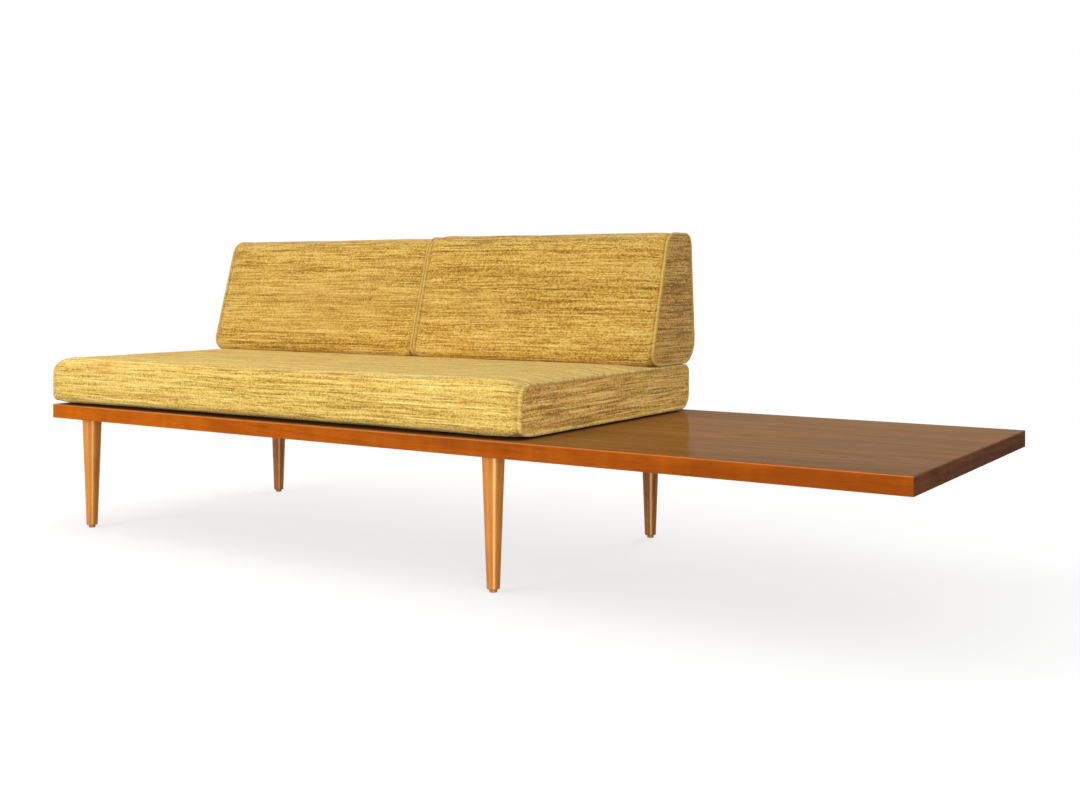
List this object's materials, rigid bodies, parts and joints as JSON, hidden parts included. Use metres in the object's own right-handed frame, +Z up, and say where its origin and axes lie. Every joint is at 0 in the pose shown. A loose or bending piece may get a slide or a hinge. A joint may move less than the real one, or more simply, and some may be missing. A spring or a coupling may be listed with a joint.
{
  "type": "daybed",
  "caption": "Long low platform on tapered turned legs, with a tweed seat cushion and wedge back bolsters over one part and a bare lacquered table top at the other end.",
  "frame": {"origin": "on the floor, in the middle of the object's whole length and depth (the depth runs from the platform's front edge to the bolsters' zip pulls)", "axes": "+Z up, +X along the platform from the seat end to the table end, -Y towards the front where one sits"},
  "size_m": [2.44, 0.8899, 0.8206],
  "materials": {
    "top_lacquer": "satin-gloss lacquered brown veneer, grain along the length",
    "edge_lacquer": "satin-gloss lacquered orange-brown hardwood",
    "leg_lacquer": "satin-gloss lacquered turned hardwood",
    "plywood": "bare birch plywood",
    "batten_wood": "bare planed softwood",
    "steel": "zinc-plated steel",
    "glide_nylon": "dark brown nylon",
    "tweed": "mustard slub tweed with brown and olive flecks",
    "foam": "cream upholstery foam",
    "zip_tape": "woven mustard-brown zip tape with a nylon chain",
    "zip_metal": "antique brass-coloured zinc"
  },
  "bodies": {
    "platform": {"top_veneer": "top_lacquer", "front_rail": "edge_lacquer", "rear_rail": "edge_lacquer", "left_rail": "edge_lacquer", "right_rail": "edge_lacquer", "deck_panel": "plywood", "mitre_keys": "plywood", "front_stiffener": "batten_wood", "rear_stiffener": "batten_wood", "cross_batten_1": "batten_wood", "cross_batten_2": "batten_wood", "cross_batten_3": "batten_wood", "cross_batten_4": "batten_wood", "cross_batten_5": "batten_wood", "leg_block_front_left": "batten_wood", "leg_block_front_right": "batten_wood", "leg_block_rear_left": "batten_wood", "leg_block_rear_right": "batten_wood", "leg_plate_front_left": "steel", "leg_plate_front_right": "steel", "leg_plate_rear_left": "steel", "leg_plate_rear_right": "steel", "plate_screws": "steel", "hanger_bolts": "steel", "leg_front_left": "leg_lacquer", "leg_front_right": "leg_lacquer", "leg_rear_left": "leg_lacquer", "leg_rear_right": "leg_lacquer", "glide_front_left": "glide_nylon", "glide_front_right": "glide_nylon", "glide_rear_left": "glide_nylon", "glide_rear_right": "glide_nylon"},
    "seat_cushion": {"seat_foam": "foam", "seat_cover": "tweed", "seat_end_left": "tweed", "seat_end_right": "tweed", "seat_zip": "zip_tape"},
    "seat_zip_slider": {"seat_zip_slider": "zip_metal"},
    "seat_zip_pull": {"seat_zip_pull": "zip_metal"},
    "left_bolster": {"left_bolster_foam": "foam", "left_bolster_cover": "tweed", "left_bolster_end_left": "tweed", "left_bolster_end_right": "tweed", "left_bolster_zip": "zip_tape"},
    "left_bolster_zip_slider": {"left_bolster_zip_slider": "zip_metal"},
    "left_bolster_zip_pull": {"left_bolster_zip_pull": "zip_metal"},
    "right_bolster": {"right_bolster_foam": "foam", "right_bolster_cover": "tweed", "right_bolster_end_left": "tweed", "right_bolster_end_right": "tweed", "right_bolster_zip": "zip_tape"},
    "right_bolster_zip_slider": {"right_bolster_zip_slider": "zip_metal"},
    "right_bolster_zip_pull": {"right_bolster_zip_pull": "zip_metal"}
  },
  "joints": [
    {"name": "seat_lift", "type": "slide", "parent": "platform", "child": "seat_cushion", "axis": [0, 0, 1], "range_m": [0, 0.3]},
    {"name": "seat_zip_travel", "type": "slide", "parent": "seat_cushion", "child": "seat_zip_slider", "axis": [1, 0, 0], "range_m": [0, 1.402]},
    {"name": "seat_pull_turn", "type": "hinge", "parent": "seat_zip_slider", "child": "seat_zip_pull", "pos_m": [-1.144, 0.40717, 0.4078], "axis": [0, 0, 1], "range_deg": [0, 180]},
    {"name": "left_bolster_lift", "type": "slide", "parent": "seat_cushion", "child": "left_bolster", "axis": [0, 0, 1], "range_m": [0, 0.3]},
    {"name": "left_bolster_zip_travel", "type": "slide", "parent": "left_bolster", "child": "left_bolster_zip_slider", "axis": [1, 0, 0], "range_m": [0, 0.63]},
    {"name": "left_bolster_pull_turn", "type": "hinge", "parent": "left_bolster_zip_slider", "child": "left_bolster_zip_pull", "pos_m": [-1.144, 0.44288, 0.53095], "axis": [0, -0.0712, 0.9975], "range_deg": [0, 180]},
    {"name": "right_bolster_lift", "type": "slide", "parent": "seat_cushion", "child": "right_bolster", "axis": [0, 0, 1], "range_m": [0, 0.3]},
    {"name": "right_bolster_zip_travel", "type": "slide", "parent": "right_bolster", "child": "right_bolster_zip_slider", "axis": [1, 0, 0], "range_m": [0, 0.63]},
    {"name": "right_bolster_pull_turn", "type": "hinge", "parent": "right_bolster_zip_slider", "child": "right_bolster_zip_pull", "pos_m": [-0.364, 0.44288, 0.53095], "axis": [0, -0.0712, 0.9975], "range_deg": [0, 180]}
  ]
}
